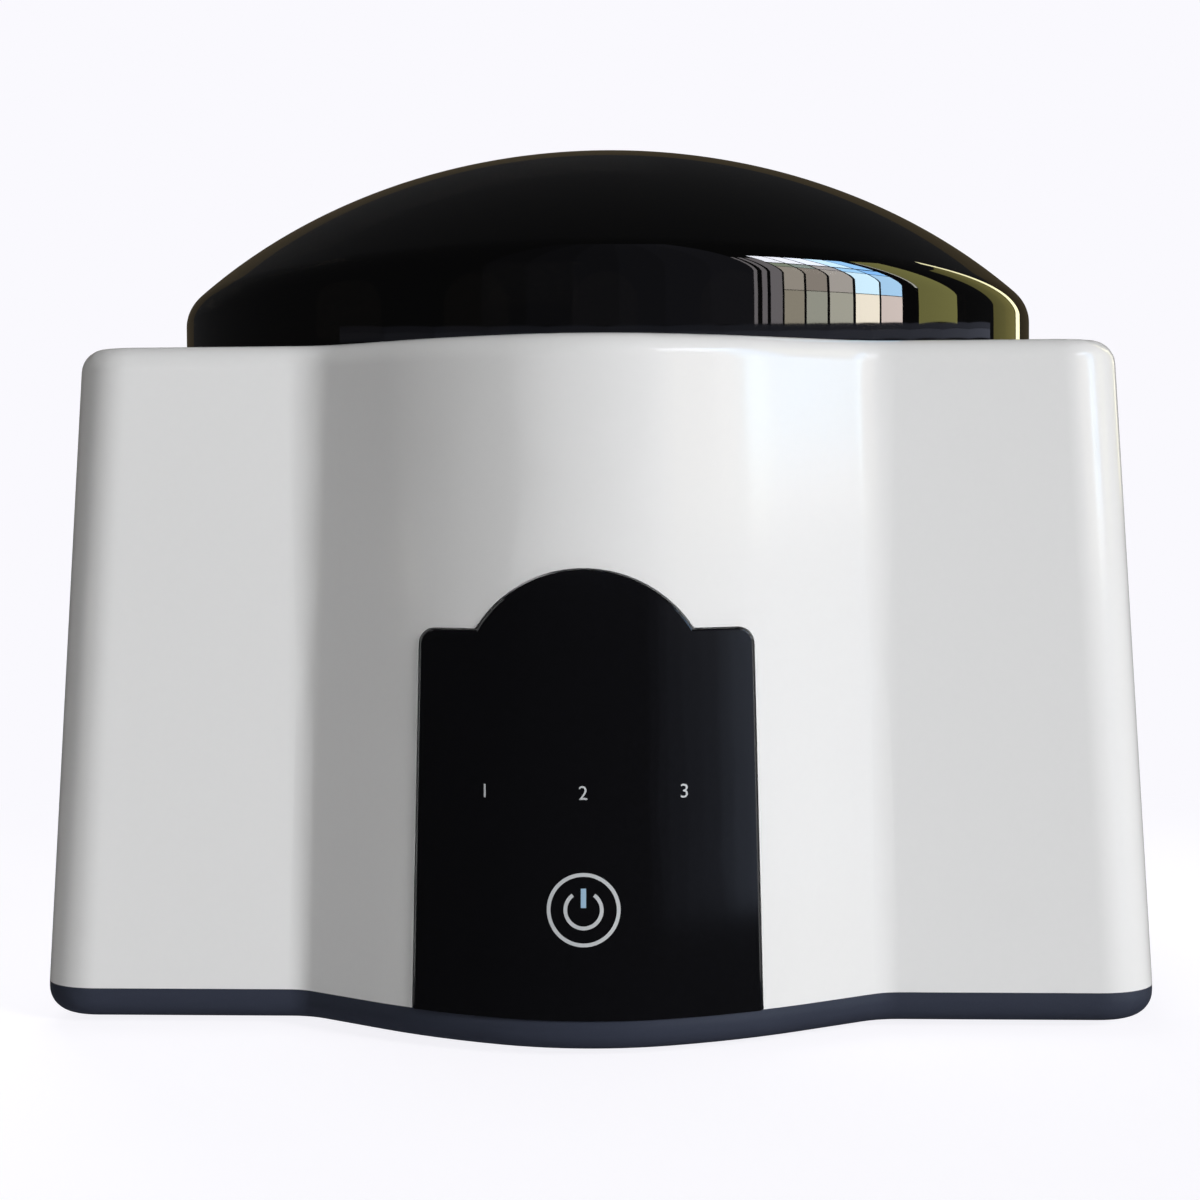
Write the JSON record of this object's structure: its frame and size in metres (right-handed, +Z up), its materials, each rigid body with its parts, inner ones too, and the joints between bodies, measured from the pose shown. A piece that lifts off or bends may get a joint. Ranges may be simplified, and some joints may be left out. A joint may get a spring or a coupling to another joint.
{
  "type": "steam nail gel remover",
  "caption": "Table-top steam nail appliance: white bulged housing with touch panel, dark tray, hinged smoked hood over a steam dish, arched finger openings at the back.",
  "frame": {"origin": "on the table under the middle of the housing, at the feet's undersides", "axes": "+X to the viewer's right across the width, -Y towards the touch panel, +Z up"},
  "size_m": [0.2236, 0.1906, 0.1837],
  "materials": {
    "white_housing": "high-gloss white moulded plastic",
    "dark_tray": "satin dark blue-grey moulded plastic",
    "black_rubber": "soft matt rubber",
    "black_panel": "polished black acrylic",
    "clear_film": "adhesive film",
    "smoked_hood": "polished smoked acrylic, olive brown at thin edges",
    "black_inner": "fine-grained black moulded plastic",
    "silicone": "soft dark grey silicone",
    "steel": "plated steel",
    "dish_aluminium": "satin aluminium",
    "insulation": "mica and glass fibre",
    "electronics": "moulded epoxy",
    "circuit_board": "green solder mask",
    "lamp_plastic": "white diffusing plastic",
    "lead_jacket": "heat-proof lead jacket"
  },
  "bodies": {
    "root": {"shell": "white_housing", "base_tray": "dark_tray", "rubber_feet": "black_rubber", "control_panel": "black_panel", "panel_adhesive": "clear_film", "finger_gate": "black_inner", "finger_seals": "silicone", "hinge_pins": "steel", "deck": "black_inner", "hood_gasket": "silicone", "well_seal": "silicone", "heater_plate": "dish_aluminium", "ptc_heater": "steel", "heater_insulation": "insulation", "heater_clamp": "steel", "thermal_fuse": "insulation", "temperature_sensor": "electronics", "touch_board": "circuit_board", "indicator_leds": "lamp_plastic", "light_box": "lamp_plastic", "touch_foam": "black_rubber", "main_board": "circuit_board", "board_capacitors": "electronics", "power_inductor": "electronics", "heat_sink": "dish_aluminium", "power_transistor": "electronics", "buzzer": "electronics", "board_connectors": "lamp_plastic", "dc_jack": "electronics", "jack_nut": "steel", "heater_leads": "lead_jacket", "panel_cable": "lead_jacket", "jack_leads": "lead_jacket", "deck_screws": "steel", "gate_screws": "steel", "plate_screws": "steel", "clamp_screws": "steel", "base_screws": "steel", "board_screws": "steel", "touch_screws": "steel"},
    "hood": {"hood": "smoked_hood"},
    "dish": {"steam_dish": "dish_aluminium"},
    "grille": {"dish_grille": "black_inner"}
  },
  "joints": [
    {"name": "hood_hinge", "type": "hinge", "parent": "root", "child": "hood", "pos_m": [0, 0.0005, 0.1432], "axis": [-1, 0, 0], "range_deg": [0, 75]},
    {"name": "dish_lift", "type": "slide", "parent": "root", "child": "dish", "axis": [0, 0, 1], "range_m": [0, 0.014]},
    {"name": "grille_lift", "type": "slide", "parent": "dish", "child": "grille", "axis": [0, 0, 1], "range_m": [0, 0.008]}
  ]
}
